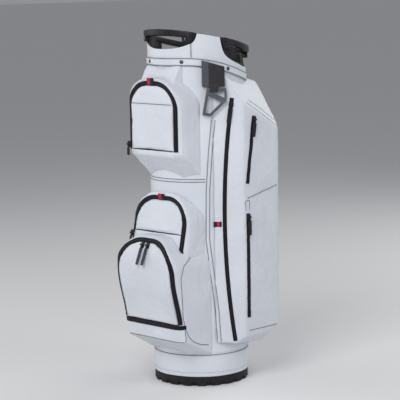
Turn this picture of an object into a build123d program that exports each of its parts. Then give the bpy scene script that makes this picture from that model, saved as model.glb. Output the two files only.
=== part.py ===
from build123d import *
import os
from math import asin, atan, cos, degrees, radians, sin, sqrt, tan

# Golf cart bag: a round tube with a slanted collar, three moulded handles,
# a stack of front pockets and a tall apparel pocket on each side.
# Millimetres, +Z up, the front is -Y, the origin is the centre of the base's underside.

# Tube and base
tube_inner = 111.5
tube_outer = 113.0
cover_outer = 122.0
base_radius = 120.0
base_height = 24.0
base_floor = 6.0
plate_radius = 103.9
sleeve_top = 84.0
notch_count = 20

# Collar: every height is taken on the axis, and the planes lean down to the back
lean = 12.5
rim_height = 870.0
band_top = 802.0
band_height = 15.0
ledge_bottom = 797.0
ledge_top = 822.0
band_outer = 124.5
handle_angles = (0, 120, -120)
handle_outer = 133.0
handle_half = 87.0
handle_bar = 14.0
window_half = 64.0
window_bottom = 48.0
leg_half = 76.0
leg_drop = 26.0

# Dividers
bar_width = 8.0
divider_rows = (-54.0, 0.0, 54.0)
inner_posts = (-54.0, 0.0, 54.0)
outer_posts = (-32.0, 32.0)

# Pockets
fabric = 4.0
zip_raise = 1.5
upper_face = 160.0
upper_half = 92.0
middle_half = 97.0
middle_slope = 0.2
ball_half = 105.0
# Height and depth of the ball pocket's bulging front
ball_bulge = ((84, 150), (128, 170), (162, 174), (225, 186), (290, 199), (330, 198), (374, 184), (392, 168))
side_reach = 165.0
side_back = 136.0
chamfer_offset = 165.0 / sqrt(2)
long_zip_radius = 2100.0
long_zip_middle = 425.0
long_zip_inset = 64.0

# Zip sliders, shared by all pockets
slider_width = 11.2
slider_length = 16.0
pin_height = 5.0
pin_radius = 0.8

reach = 300.0
os.makedirs("parts", exist_ok=True)


# ---- shared shapes -------------------------------------------------------------


def ring(inner, outer, bottom, top):
    # Upright tube wall between two heights.
    wall = Cylinder(outer, top - bottom) - Cylinder(inner, top - bottom)
    return Pos(0, 0, (bottom + top) / 2) * wall


def below(height):
    # Everything under the slanted plane that crosses the axis at this height.
    rise = reach * tan(radians(lean))
    corners = [(-reach, height + rise), (reach, height - rise), (reach, -reach), (-reach, -reach)]
    return extrude(Plane.YZ * Polygon(*corners, align=None), amount=reach, both=True)


def slab(bottom, top):
    # Slice between two slanted planes.
    return below(top) - below(bottom)


def trim(shape, normal, distance):
    # Keeps the side of a plane that its outward normal points away from.
    outward = Vector(*normal).normalized()
    plane = Plane(origin=outward * distance, z_dir=outward)
    return split(shape, bisect_by=plane, keep=Keep.BOTTOM)


def arch(half, bottom, top, radius):
    # Doorway outline in the XZ plane, with both upper corners rounded.
    corners = [(-half, bottom), (-half, top), (half, top), (half, bottom)]
    outline = FilletPolyline(*corners, radius=[0.01, radius, radius, 0.01], close=True)
    return make_face(outline)


def arch_prism(half, bottom, top, radius):
    return extrude(Plane.XZ * arch(half, bottom, top, radius), amount=reach)


def profile_prism(outline, half):
    # Side profile in the YZ plane, made as wide as the pocket.
    return extrude(Plane.YZ * outline, amount=half, both=True)


def rounded_front(prism, half, front, radius):
    # Rounds the upright side edges of the front face, which lie beyond this depth.
    edges = [edge for edge in prism.edges() if abs(abs(edge.center().X) - half) < 0.01]
    return fillet([edge for edge in edges if edge.center().Y < front], radius)


def plan_prism(half, face, radius, bottom, top):
    # Rounded box that reaches from the bag's middle to a front face.
    depth = face - 20
    plan = Pos(0, -20 - depth / 2) * RectangleRounded(2 * half, depth, radius)
    return Pos(0, 0, bottom) * extrude(plan, amount=top - bottom)


def off_tube(shape):
    return shape - Pos(0, 0, 450) * Cylinder(cover_outer + 0.1, 1200)


# ---- base and tube -------------------------------------------------------------


def make_base_cup():
    # The floor plate drops into the foot ring.
    floor = Pos(0, 0, base_floor / 2) * Cylinder(plate_radius, base_floor)
    flange = ring(plate_radius + 0.1, base_radius, 0, base_height)
    upstand = ring(tube_outer + 0.3, 117, base_height, 70)
    cup = flange + upstand
    cup -= ring(tube_inner - 0.3, tube_outer + 0.3, base_floor, base_height)
    notch = Pos(0, -base_radius, 4) * Box(15, 12, 8)
    notches = [Rot(0, 0, 360 / notch_count * k) * notch for k in range(notch_count)]
    return [cup - notches, floor]


def make_base_pad():
    return Pos(0, 0, base_floor + 4) * Cylinder(103.5, 8)


def make_base_sleeve():
    return ring(117.3, 120.5, base_height, sleeve_top)


def make_tube_shell():
    return ring(tube_inner, tube_outer, base_floor, 900) & below(ledge_bottom)


def make_body_cover():
    return ring(tube_outer + 0.3, cover_outer, sleeve_top + 0.5, 900) & below(band_top - band_height)


def make_stay_rods():
    rod = Pos(0, -99, 500) * Cylinder(3, 970)
    rods = [Rot(0, 0, angle) * rod for angle in (40, -40, 140, -140)]
    return [part & below(ledge_bottom) for part in rods]


# ---- collar --------------------------------------------------------------------


def rim_place(angle):
    # Frame in the slanted rim plane, turned about its own normal.
    slant = radians(lean)
    rim = Plane(origin=(0, 0, rim_height), x_dir=(1, 0, 0), z_dir=(0, sin(slant), cos(slant)))
    return rim.location * Rot(0, 0, angle)


def outward_prism(points, angle):
    outline = extrude(Plane.XZ * Polygon(*points, align=None), amount=160, dir=(0, -1, 0))
    return rim_place(angle) * outline


def bar_outline(angle, grow):
    edge = handle_half + grow
    low = edge - (handle_half - leg_half) * (handle_bar + grow) / leg_drop
    points = [(-edge, grow), (edge, grow), (low, -handle_bar - grow), (-low, -handle_bar - grow)]
    return outward_prism(points, angle)


def leg_outline(angle):
    sides = []
    for side in (-1, 1):
        points = [(side * handle_half, 0), (side * leg_half, -leg_drop), (side * window_half, -leg_drop)]
        points.append((side * window_half, 0))
        sides.append(outward_prism(points, angle))
    return sides[0] + sides[1]


def window(angle):
    points = [(-window_half, -handle_bar), (window_half, -handle_bar)]
    points += [(window_half - 6, -window_bottom), (-window_half + 6, -window_bottom)]
    return outward_prism(points, angle)


def screw_places(angle):
    return [rim_place(angle) * Pos(side * 72, -100, -18) * Rot(90, 0, 0) for side in (-1, 1)]


def make_collar_frame():
    skirt = ring(106, tube_inner - 0.3, 600, 1000) & slab(770, ledge_bottom)
    ledge = ring(104, 120.7, 600, 1000) & slab(ledge_bottom, ledge_top)
    wall = ring(114, 120.7, 600, 1000) & slab(ledge_top, rim_height)
    frame = skirt + ledge + wall
    for angle in handle_angles:
        frame -= bar_outline(angle, 0.2)
        frame -= window(angle)
        frame -= [place * Cylinder(2.1, 60) for place in screw_places(angle)]
    return frame


def make_handle(angle):
    bar = bar_outline(angle, 0) & ring(115, handle_outer, 600, 1100)
    legs = leg_outline(angle) & ring(120.9, handle_outer, 600, 1100)
    handle = bar + legs
    for place in screw_places(angle):
        handle -= place * Cylinder(2.1, 60)
        handle -= place * Pos(0, 0, 18) * Cylinder(4.3, 20)
    return handle


def make_collar_screws():
    screws = []
    for angle in handle_angles:
        for place in screw_places(angle):
            shank = place * Pos(0, 0, 1) * Cylinder(2.0, 14)
            head = place * Pos(0, 0, 9.2) * Cylinder(3.9, 2.4)
            screws.append(shank + head)
    return screws


def make_collar_wrap():
    wrap = ring(121, 124, 600, 1000) & slab(band_top + 0.2, rim_height - 1)
    for angle in handle_angles:
        depth = window_bottom if angle == 0 else window_bottom + 9
        points = [(-88.5, 6), (-88.5, 0), (-77.5, -27), (-62, -depth)]
        points += [(-x, z) for x, z in reversed(points)]
        wrap -= outward_prism(points, angle)
    return wrap


def make_collar_band():
    return ring(121, band_outer, 600, 1000) & slab(band_top - band_height, band_top)


def band_place(angle):
    # Middle of the collar band, with the local Z axis pointing outward.
    radians_round = radians(angle)
    x, y = band_outer * sin(radians_round), -band_outer * cos(radians_round)
    height = band_top - band_height / 2 - y * tan(radians(lean))
    return Pos(x, y, height) * Rot(0, 0, angle) * Rot(90, 0, 0)


def make_snap_studs():
    studs = []
    for angle in (28, 57, 83, 135, -28, -57, -83, -135):
        cap = Pos(0, 0, 1.1) * Cylinder(4.2, 2.2)
        studs.append(band_place(angle) * fillet(cap.edges().sort_by(Axis.Z)[-1], 0.8))
    return studs


# ---- dividers ------------------------------------------------------------------


def long_bar(row, width):
    return Pos(0, row, 850) * Box(240, width, 600)


def short_bars(width):
    gap = (bar_width - 0) / 2
    lines = [-120.0, *divider_rows, 120.0]
    bars = []
    for index in range(len(lines) - 1):
        start = lines[index] + gap
        end = lines[index + 1] - gap
        posts = inner_posts if index in (1, 2) else outer_posts
        for post in posts:
            bars.append(Pos(post, (start + end) / 2, 850) * Box(width, end - start, 600))
    return bars


def make_divider_long_bars():
    inside = Pos(0, 0, 800) * Cylinder(103.9, 800) & slab(ledge_bottom, ledge_top)
    return [long_bar(row, bar_width) & inside for row in divider_rows]


def make_divider_short_bars():
    inside = Pos(0, 0, 800) * Cylinder(103.9, 800) & slab(ledge_bottom, ledge_top)
    return [bar & inside for bar in short_bars(bar_width)]


def make_divider_sleeves():
    inside = Pos(0, 0, 418) * Cylinder(94, 800) & below(ledge_bottom)
    sheets = [Pos(0, row, 418) * Box(240, 1.2, 800) & inside for row in divider_rows]
    for bar in short_bars(1.2):
        box = bar.bounding_box()
        sheet = Pos(box.center().X, box.center().Y, 418) * Box(1.2, box.size.Y + 6, 800)
        sheets.append(sheet & inside)
    return sheets


# ---- front pockets ---------------------------------------------------------------


def upper_volume(grow):
    plan = plan_prism(upper_half + grow, upper_face + grow, 25 + grow, 530, 830)
    box = plan & arch_prism(upper_half + grow, 530, 779 + grow, 76 + grow)
    slope = [(-146 - grow, 765), (-122 - grow, 808 + grow), (-60, 808 + grow), (-60, 765)]
    volume = box + profile_prism(Polygon(*slope, align=None), 58 + grow)
    volume = trim(volume, (0, -0.762, -0.648), -260.4 + grow)
    for side in (-1, 1):
        volume = trim(volume, (side * 0.555, -0.555, -0.620), -236.7 + grow)
    return volume


def middle_y(height):
    # Depth of the middle pocket's face, which leans back as it rises.
    return -130 - middle_slope * (480 - height)


def middle_volume(grow):
    rise = grow * sqrt(1 + middle_slope**2)
    corners = [(-20, 300), (middle_y(300) - rise, 300), (middle_y(500) - rise, 500), (-20, 500)]
    half = middle_half + grow
    volume = rounded_front(profile_prism(Polygon(*corners, align=None), half), half, -140, 20 + grow)
    return volume & arch_prism(half, 290, 492 + grow, 78 + grow)


def ball_section(height, depth, grow):
    # Level cut through the ball pocket, from inside the tube to the bulging front.
    length = depth + grow - 20
    plan = RectangleRounded(2 * (ball_half + grow), length, 24 + grow)
    return (Pos(0, -20 - length / 2, height) * plan).face()


def ball_volume(grow):
    volume = loft([ball_section(height, depth, grow) for height, depth in ball_bulge])
    volume &= arch_prism(ball_half + grow + 0.1, 60, 388 + grow, 88 + grow)
    volume = trim(volume, (0, -0.58, -0.815), -5.7 + grow)
    for side in (-1, 1):
        volume = trim(volume, (side * 0.41, -0.41, -0.815), 1.5 + grow)
    return volume


def pocket_case(outer, cavity, opening):
    return off_tube(outer) - cavity - opening


def make_upper_pocket():
    door = arch_prism(75, 602, 762, 59)
    return pocket_case(upper_volume(0), upper_volume(-fabric), door)


def front_of(depth):
    # Everything further forward than this depth.
    return Pos(0, -depth - 100, 450) * Box(600, 200, 900)


def above(height):
    return Pos(0, 0, height + 300) * Box(600, 600, 600)


def make_upper_flap():
    shell = upper_volume(0) - upper_volume(-fabric)
    return shell & front_of(150) & arch_prism(74.6, 602.4, 761.6, 58.6)


def make_upper_zip():
    front = Pos(0, -upper_face - zip_raise / 2, 690) * Box(300, zip_raise, 300)
    return front & (arch_prism(85, 600, 772, 69) - arch_prism(75, 590, 762, 59))


def make_middle_pocket():
    door = arch_prism(83, 394, 474, 60) & front_of(120)
    cavity = middle_volume(-fabric) & above(391)
    return pocket_case(middle_volume(0), cavity, door) - ball_volume(0)


def make_middle_flap():
    shell = middle_volume(0) - middle_volume(-fabric)
    return shell & front_of(120) & arch_prism(82.6, 394.4, 473.6, 59.6)


def make_middle_zip():
    skin = (middle_volume(zip_raise) - middle_volume(0)) & front_of(118)
    band = skin & (arch_prism(93, 340, 484, 70) - arch_prism(83, 330, 474, 60))
    return band - ball_volume(0)


def make_ball_pocket():
    door = arch_prism(92, 172, 372, 78) & front_of(160)
    cavity = ball_volume(-fabric) & Pos(0, 0, 254) * Box(600, 600, 250)
    return pocket_case(ball_volume(0), cavity, door)


def make_ball_panel():
    shell = ball_volume(0) - ball_volume(-fabric)
    return shell & front_of(160) & arch_prism(91.6, 172.4, 371.6, 77.6)


def front_skin(volume, patch):
    # Thin layer laid over the front of a volume, inside a patch's outline.
    return (Pos(0, -zip_raise, 0) * volume & patch) - volume


def make_ball_zip():
    patch = arch_prism(104.5, 171.2, 384.5, 87) - arch_prism(92, 160, 372, 78)
    return front_skin(ball_volume(0), patch & front_of(120))


def make_ball_binding():
    return front_skin(ball_volume(0), Pos(0, -170, 165.5) * Box(208, 100, 11))


# ---- side pockets ------------------------------------------------------------------


def side_volume(grow):
    plan = [(90, -75), (side_reach, 0), (side_reach, side_back), (50, side_back), (50, 60), (0, 0)]
    rounding = [0.01, 12, 25, 12, 0.01, 0.01]
    base = make_face(FilletPolyline(*plan, radius=rounding, close=True))
    if grow:
        base = offset(base, amount=grow)
    volume = Pos(0, 0, 90) * extrude(base, amount=720)
    volume &= below(band_top - band_height - 0.5 + grow)
    volume = trim(volume, (1.423, 0.595, 1.0), 516.1 + grow)
    volume = trim(volume, (0, -0.1, -1.0), -106.5 + grow)
    volume = trim(volume, (0.7071, 0, -0.7071), 26.9 + grow)
    volume = trim(volume, (0, 0.7071, -0.7071), 6.4 + grow)
    return trim(volume, (0.5, 0.5, -0.7071), 40.3 + grow)


def make_side_pocket():
    return off_tube(side_volume(0)) - side_volume(-fabric)


def chamfer_face():
    middle = chamfer_offset / sqrt(2)
    return Plane(origin=(middle, -middle, 0), x_dir=(1, 1, 0), z_dir=(1, -1, 0))


def side_face():
    return Plane(origin=(side_reach, 0, 0), x_dir=(0, 1, 0), z_dir=(1, 0, 0))


def make_long_zip():
    centre = Pos(long_zip_inset + long_zip_radius, long_zip_middle)
    sweep_ring = centre * (Circle(long_zip_radius + 5) - Circle(long_zip_radius - 5))
    stretch = Pos(80, 422) * Rectangle(120, 612)
    return extrude(chamfer_face() * (sweep_ring & stretch), amount=zip_raise)


def slot_band(start, end, width):
    # Straight zip on the side face, given by its two ends as (Y, Z).
    band = SlotCenterToCenter(sqrt((end[0] - start[0]) ** 2 + (end[1] - start[1]) ** 2), width)
    turn = degrees(atan((end[0] - start[0]) / (start[1] - end[1]))) - 90
    middle = Pos((start[0] + end[0]) / 2, (start[1] + end[1]) / 2)
    return extrude(side_face() * (middle * Rot(0, 0, turn) * band), amount=zip_raise)


upper_zip_top = (33.0, 680.0)
upper_zip_end = (8.0, 514.0)
lower_zip_top = (8.0, 437.0)
lower_zip_end = (8.0, 175.0)


# ---- zip sliders and pulls ----------------------------------------------------------


def slider():
    # Local frame: X across the zip, Y up the zip, Z out of the fabric.
    plate = Pos(0, 0, 1.5) * Box(slider_width, slider_length, 3)
    plate = fillet(plate.edges().filter_by(Axis.Z), 3)
    body = plate
    for side in (-1, 1):
        body += Pos(side * 4.95, 0, 4.5) * Box(1.3, 4, 4.4)
    return body + Pos(0, 0, pin_height) * Rot(0, 90, 0) * Cylinder(pin_radius, 9.6)


def pull(length, width):
    eye = Pos(0, 0, pin_height) * Rot(0, 90, 0) * Cylinder(1.7, 7.8)
    neck = Pos(0, -5, pin_height) * Box(5, 8, 2)
    tab = Pos(0, -8 - length / 2, pin_height) * Box(width, length, 2)
    tab = fillet(tab.edges().filter_by(Axis.Z), width * 0.3)
    body = eye + neck + tab
    return body - Pos(0, 0, pin_height) * Rot(0, 90, 0) * Cylinder(pin_radius + 0.4, 9)


def face_place(origin, slope, lift):
    # Frame on a front face that leans back by this slope; local Y runs up the face.
    lean_back = atan(slope)
    outward = (0, -cos(lean_back), sin(lean_back))
    plane = Plane(origin=origin, x_dir=(1, 0, 0), z_dir=outward)
    return plane.location * Pos(0, 0, lift)


def long_zip_place(height):
    turn = asin((height - long_zip_middle) / long_zip_radius)
    across = long_zip_inset + long_zip_radius * (1 - cos(turn))
    return chamfer_face().location * Pos(across, height, zip_raise) * Rot(0, 0, -degrees(turn))


def side_zip_place(point, turn):
    return side_face().location * Pos(point[0], point[1], zip_raise) * Rot(0, 0, turn)


upper_slant = -degrees(atan((upper_zip_top[0] - upper_zip_end[0]) / (upper_zip_top[1] - upper_zip_end[1])))
slider_places = {
    "upper": face_place((-80.4, -upper_face, 612), 0, zip_raise),
    "middle": face_place((-88, middle_y(384), 384), middle_slope, zip_raise),
    "ball_left": face_place((-9, -188.0, 365), 0.4, 1.8),
    "ball_right": face_place((9, -188.0, 365), 0.4, 1.8),
    "right_long": long_zip_place(712),
    "right_upper": side_zip_place((upper_zip_top[0] - 1.2, upper_zip_top[1] - 8), upper_slant),
    "right_lower": side_zip_place((lower_zip_top[0], lower_zip_top[1] - 8), 0),
}
pull_sizes = {
    "upper": (20, 8),
    "middle": (18, 8),
    "ball_left": (44, 9),
    "ball_right": (44, 9),
    "right_long": (40, 11),
    "right_upper": (36, 11),
    "right_lower": (38, 11),
}


# ---- ribbons, towel holder and strap -------------------------------------------------


def ribbon(place, width, height):
    return place * Pos(0, 0, 0.6) * Box(width, height, 1.2)


holster_face = 126.0


def holster_place(across, height):
    # Plane in front of the chamfer, parallel to it, with local Z pointing outward.
    middle = holster_face / sqrt(2)
    plane = Plane(origin=(middle, -middle, 0), x_dir=(1, 1, 0), z_dir=(1, -1, 0))
    return plane.location * Pos(across, height, 0)


hook_height = 750.0
hook_across = 42.0


def make_holster():
    outline = Polygon((13, 757), (68, 757), (68, 806), (13, 822), align=None)
    flat = extrude(outline, amount=6, dir=(0, 0, 1))
    tab = Pos(hook_across, hook_height + 1, 4) * Box(20, 14, 8)
    bore = Pos(hook_across, hook_height, 4) * Rot(0, 90, 0) * Cylinder(2.7, 60)
    return holster_place(0, 0) * (flat + tab - bore)


def make_towel_hook():
    outer = Polygon((-29, -62), (-9, -66), (30, -28), (30, 4), (-17, 4), align=None)
    lower_gap = Polygon((-14, -15), (-21.4, -56), (-10.5, -58.5), (18, -31), align=None)
    upper_gap = Polygon((-8, -5), (25, -20.5), (25, -5), align=None)
    frame = Pos(0, 0, -2.5) * extrude(outer - lower_gap - upper_gap, amount=5, dir=(0, 0, 1))
    frame -= Pos(0, 0.5, 0) * Box(22, 17, 12)
    bar = Pos(6, 0, 0) * Rot(0, 90, 0) * Cylinder(2.3, 44)
    return holster_place(hook_across, hook_height) * Pos(0, 0, 4) * (frame + bar)


strap_plane = 129.75
upper_ring = 732.0
lower_ring = 150.0
ring_bar = 10.5


def ring_loop(height):
    # Folded end that holds one bar of a ring.
    block = Pos(0, strap_plane, height) * Box(30, 9.5, 10)
    return block - Pos(0, strap_plane, height) * Box(40, 5.6, 5.6)


def make_strap_pad():
    outline = Pos(0, 480) * RectangleRounded(64, 300, 28)
    face = Plane(origin=(0, 122.5, 0), x_dir=(-1, 0, 0), z_dir=(0, 1, 0))
    return extrude(face * outline, amount=14)


def make_strap_webbing():
    straps = []
    for start, end in ((630.2, upper_ring - ring_bar - 4), (lower_ring + ring_bar + 4, 329.8)):
        straps.append(Pos(0, strap_plane, (start + end) / 2) * Box(38, 3, end - start))
    straps[0] += ring_loop(upper_ring - ring_bar)
    straps[1] += ring_loop(lower_ring + ring_bar)
    return straps


def strap_ring(height):
    outline = RectangleRounded(52, 26, 8) - RectangleRounded(42, 16, 5)
    body = extrude(Plane.XZ * outline, amount=2.5, both=True)
    return Pos(0, strap_plane, height) * body


def make_strap_anchor(height, side):
    # Riveted tab on the tube that carries a ring.
    tab = Pos(0, 123.7, height + side * 10) * Box(30, 3, 26)
    return tab + ring_loop(height)


def export(name, shape):
    if isinstance(shape, list):
        solids = [solid for piece in shape for solid in piece.solids()]
        shape = Compound(children=[Solid(solid.wrapped) for solid in solids])
    export_step(shape, "parts/" + name + ".step")
    print(name)


def main():
    export("base_cup", make_base_cup())
    export("base_pad", make_base_pad())
    export("base_sleeve", make_base_sleeve())
    export("tube_shell", make_tube_shell())
    export("body_cover", make_body_cover())
    export("stay_rods", make_stay_rods())
    export("collar_frame", make_collar_frame())
    for name, angle in zip(("front_handle", "right_handle", "left_handle"), handle_angles):
        export(name, make_handle(angle))
    export("collar_screws", make_collar_screws())
    export("collar_wrap", make_collar_wrap())
    export("collar_band", make_collar_band())
    export("snap_studs", make_snap_studs())
    export("divider_long_bars", make_divider_long_bars())
    export("divider_short_bars", make_divider_short_bars())
    export("divider_sleeves", make_divider_sleeves())
    export("upper_pocket", make_upper_pocket())
    export("upper_flap", make_upper_flap())
    export("upper_zip", make_upper_zip())
    export("middle_pocket", make_middle_pocket())
    export("middle_flap", make_middle_flap())
    export("middle_zip", make_middle_zip())
    export("ball_pocket", make_ball_pocket())
    export("ball_panel", make_ball_panel())
    export("ball_zip", make_ball_zip())
    export("ball_binding", make_ball_binding())
    pocket = make_side_pocket()
    long_zip = make_long_zip()
    export("right_pocket", pocket)
    export("left_pocket", mirror(pocket, Plane.YZ))
    export("right_long_zip", long_zip)
    export("left_long_zip", mirror(long_zip, Plane.YZ))
    export("right_upper_zip", slot_band(upper_zip_top, upper_zip_end, 10))
    export("right_lower_zip", slot_band(lower_zip_top, lower_zip_end, 10))
    for name, place in slider_places.items():
        body = place * slider()
        tab = place * pull(*pull_sizes[name])
        export(name + "_slider", body)
        export(name + "_pull", tab)
        if name == "right_long":
            export("left_long_slider", mirror(body, Plane.YZ))
            export("left_long_pull", mirror(tab, Plane.YZ))
    export("upper_ribbon", ribbon(face_place((0, -upper_face, 772), 0, zip_raise), 22, 16))
    export("middle_ribbon", ribbon(face_place((0, middle_y(482), 482), middle_slope, zip_raise), 22, 14))
    export("side_ribbon", ribbon(chamfer_face().location * Pos(46, 413, 0), 20, 13))
    export("holster", make_holster())
    export("towel_hook", make_towel_hook())
    export("strap_pad", make_strap_pad())
    export("strap_webbing", make_strap_webbing())
    export("strap_upper_ring", strap_ring(upper_ring))
    export("strap_lower_ring", strap_ring(lower_ring))
    export("strap_upper_anchor", make_strap_anchor(upper_ring + ring_bar, 0))
    export("strap_lower_anchor", make_strap_anchor(lower_ring - ring_bar, -1))


main()
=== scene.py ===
import math
import bmesh
import bpy
from mathutils import Matrix, Vector, noise
from mathutils.bvhtree import BVHTree


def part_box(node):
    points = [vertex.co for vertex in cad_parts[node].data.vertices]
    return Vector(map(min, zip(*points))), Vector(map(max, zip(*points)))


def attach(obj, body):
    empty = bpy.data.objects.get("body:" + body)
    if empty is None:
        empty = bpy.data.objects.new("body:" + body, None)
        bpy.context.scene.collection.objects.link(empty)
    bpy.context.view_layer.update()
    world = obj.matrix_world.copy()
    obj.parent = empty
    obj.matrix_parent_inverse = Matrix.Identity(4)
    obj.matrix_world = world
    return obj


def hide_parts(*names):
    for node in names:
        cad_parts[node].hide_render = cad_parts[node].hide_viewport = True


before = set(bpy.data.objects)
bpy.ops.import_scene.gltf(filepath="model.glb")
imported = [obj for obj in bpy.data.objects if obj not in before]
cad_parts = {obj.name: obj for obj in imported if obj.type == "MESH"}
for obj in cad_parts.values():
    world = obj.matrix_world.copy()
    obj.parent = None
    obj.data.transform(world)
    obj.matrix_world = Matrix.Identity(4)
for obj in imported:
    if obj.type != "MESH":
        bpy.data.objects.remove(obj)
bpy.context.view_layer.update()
mm = 0.001
print("frame loaded")


def newMaterial(name, colour, roughness, metallic=0.0):
    material = bpy.data.materials.new(name)
    material.use_nodes = True
    shader = material.node_tree.nodes["Principled BSDF"]
    shader.inputs["Base Color"].default_value = (*colour, 1)
    shader.inputs["Roughness"].default_value = roughness
    shader.inputs["Metallic"].default_value = metallic
    return material, shader


def objectCoords(material, scale=(1, 1, 1)):
    nodes, links = material.node_tree.nodes, material.node_tree.links
    coords = nodes.new("ShaderNodeTexCoord")
    mapping = nodes.new("ShaderNodeMapping")
    mapping.inputs["Scale"].default_value = scale
    links.new(coords.outputs["Object"], mapping.inputs["Vector"])
    return mapping.outputs["Vector"]


def noiseOf(material, vector, scale, detail):
    node = material.node_tree.nodes.new("ShaderNodeTexNoise")
    node.inputs["Scale"].default_value = scale
    node.inputs["Detail"].default_value = detail
    material.node_tree.links.new(vector, node.inputs["Vector"])
    return node.outputs["Fac"]


def cellsOf(material, vector, scale, feature="F1"):
    node = material.node_tree.nodes.new("ShaderNodeTexVoronoi")
    node.feature = feature
    node.inputs["Scale"].default_value = scale
    material.node_tree.links.new(vector, node.inputs["Vector"])
    return node.outputs["Distance"]


def remap(material, value, low, high, fromLow=0.0, fromHigh=1.0):
    node = material.node_tree.nodes.new("ShaderNodeMapRange")
    material.node_tree.links.new(value, node.inputs["Value"])
    for key, amount in (("From Min", fromLow), ("From Max", fromHigh), ("To Min", low), ("To Max", high)):
        node.inputs[key].default_value = amount
    return node.outputs["Result"]


def combine(material, operation, first, second):
    node = material.node_tree.nodes.new("ShaderNodeMath")
    node.operation = operation
    for socket, value in zip(node.inputs, (first, second)):
        if isinstance(value, (int, float)):
            socket.default_value = value
        else:
            material.node_tree.links.new(value, socket)
    return node.outputs["Value"]


def mixColours(material, factor, first, second):
    node = material.node_tree.nodes.new("ShaderNodeMix")
    node.data_type = "RGBA"
    node.inputs["A"].default_value = (*first, 1)
    node.inputs["B"].default_value = (*second, 1)
    material.node_tree.links.new(factor, node.inputs["Factor"])
    return node.outputs["Result"]


def bumpInto(material, shader, height, strength, distance):
    node = material.node_tree.nodes.new("ShaderNodeBump")
    node.inputs["Strength"].default_value = strength
    node.inputs["Distance"].default_value = distance
    material.node_tree.links.new(height, node.inputs["Height"])
    material.node_tree.links.new(node.outputs["Normal"], shader.inputs["Normal"])


leatherLook = {"pale": (0.70, 0.735, 0.79), "shade": (0.60, 0.635, 0.69), "pebble": 900.0, "drift": 9.0,
               "speckle": 0.25, "grain": 260.0, "creaseShare": 0.45}


def makeLeather(name, pale, shade):
    material, shader = newMaterial(name, pale, 0.46)
    vector = objectCoords(material)
    pebble = cellsOf(material, vector, leatherLook["pebble"])
    creaseSize = leatherLook["pebble"] * leatherLook["creaseShare"]
    creases = cellsOf(material, vector, creaseSize, "DISTANCE_TO_EDGE")
    drift = noiseOf(material, vector, leatherLook["drift"], 4.0)
    fine = noiseOf(material, vector, leatherLook["grain"], 2.0)
    speckle = combine(material, "MULTIPLY", fine, leatherLook["speckle"])
    tone = combine(material, "ADD", speckle, remap(material, drift, 0.0, 0.75, 0.3, 0.7))
    links = material.node_tree.links
    links.new(mixColours(material, tone, shade, pale), shader.inputs["Base Color"])
    rough = combine(material, "ADD", remap(material, drift, 0.38, 0.5), remap(material, fine, 0.0, 0.08))
    links.new(rough, shader.inputs["Roughness"])
    shader.inputs["Coat Weight"].default_value = 0.12
    shader.inputs["Coat Roughness"].default_value = 0.35
    height = combine(material, "ADD", pebble, remap(material, creases, 0.0, 0.8, 0.0, 0.2))
    bumpInto(material, shader, height, 0.22, 0.0004)
    return material


def makeMoulded(name, colour, light, roughness, grain, strength):
    material, shader = newMaterial(name, colour, roughness)
    shader.inputs["Specular IOR Level"].default_value = 0.32
    vector = objectCoords(material)
    grainHeight = noiseOf(material, vector, grain, 5.0)
    scuffs = noiseOf(material, vector, 45.0, 6.0)
    links = material.node_tree.links
    links.new(mixColours(material, remap(material, scuffs, 0.0, 1.0, 0.45, 0.75), colour, light),
              shader.inputs["Base Color"])
    links.new(remap(material, scuffs, roughness - 0.08, roughness + 0.12), shader.inputs["Roughness"])
    bumpInto(material, shader, grainHeight, strength, 0.0005)
    return material


def makeWoven(name, colour, light, pitch):
    material, shader = newMaterial(name, colour, 0.78)
    shader.inputs["Specular IOR Level"].default_value = 0.2
    vector = objectCoords(material)
    nodes, links = material.node_tree.nodes, material.node_tree.links
    threads = []
    for axis in ("X", "Z"):
        wave = nodes.new("ShaderNodeTexWave")
        wave.bands_direction = axis
        wave.inputs["Scale"].default_value = pitch
        links.new(vector, wave.inputs["Vector"])
        threads.append(wave.outputs["Fac"])
    weave = combine(material, "MULTIPLY", threads[0], threads[1])
    links.new(mixColours(material, weave, colour, light), shader.inputs["Base Color"])
    shader.inputs["Sheen Weight"].default_value = 0.06
    shader.inputs["Sheen Roughness"].default_value = 0.5
    bumpInto(material, shader, weave, 0.4, 0.0004)
    return material


def makeMetal(name, colour, roughness):
    material, shader = newMaterial(name, colour, roughness, 1.0)
    vector = objectCoords(material, (1, 1, 14))
    brush = noiseOf(material, vector, 300.0, 3.0)
    links = material.node_tree.links
    links.new(remap(material, brush, roughness - 0.08, roughness + 0.14), shader.inputs["Roughness"])
    bumpInto(material, shader, brush, 0.08, 0.0002)
    return material


whiteLeather = makeLeather("whiteLeatherette", leatherLook["pale"], leatherLook["shade"])
blackLeather = makeLeather("blackLeatherette", (0.009, 0.009, 0.011), (0.005, 0.005, 0.006))
foldedLeather = makeLeather("greyLeatherette", (0.06, 0.066, 0.085), (0.045, 0.05, 0.062))
baseRubber = makeMoulded("baseRubber", (0.008, 0.008, 0.009), (0.018, 0.018, 0.02), 0.62, 420.0, 0.3)
handleRubber = makeMoulded("handleRubber", (0.008, 0.007, 0.011), (0.022, 0.02, 0.028), 0.42, 420.0, 0.6)
framePlastic = makeMoulded("framePlastic", (0.007, 0.007, 0.008), (0.014, 0.014, 0.016), 0.45, 800.0, 0.15)
hookPlastic = makeMoulded("hookPlastic", (0.075, 0.08, 0.09), (0.11, 0.115, 0.125), 0.42, 700.0, 0.15)
tapeCloth = makeWoven("zipTape", (0.007, 0.0065, 0.009), (0.02, 0.018, 0.024), 420.0)
pullRubber = makeMoulded("pullRubber", (0.008, 0.007, 0.01), (0.02, 0.017, 0.025), 0.32, 500.0, 0.12)
liningCloth = makeWoven("darkLining", (0.02, 0.02, 0.024), (0.05, 0.05, 0.055), 260.0)
ribbonRed = makeWoven("redRibbon", (0.50, 0.012, 0.035), (0.66, 0.03, 0.06), 520.0)
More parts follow.
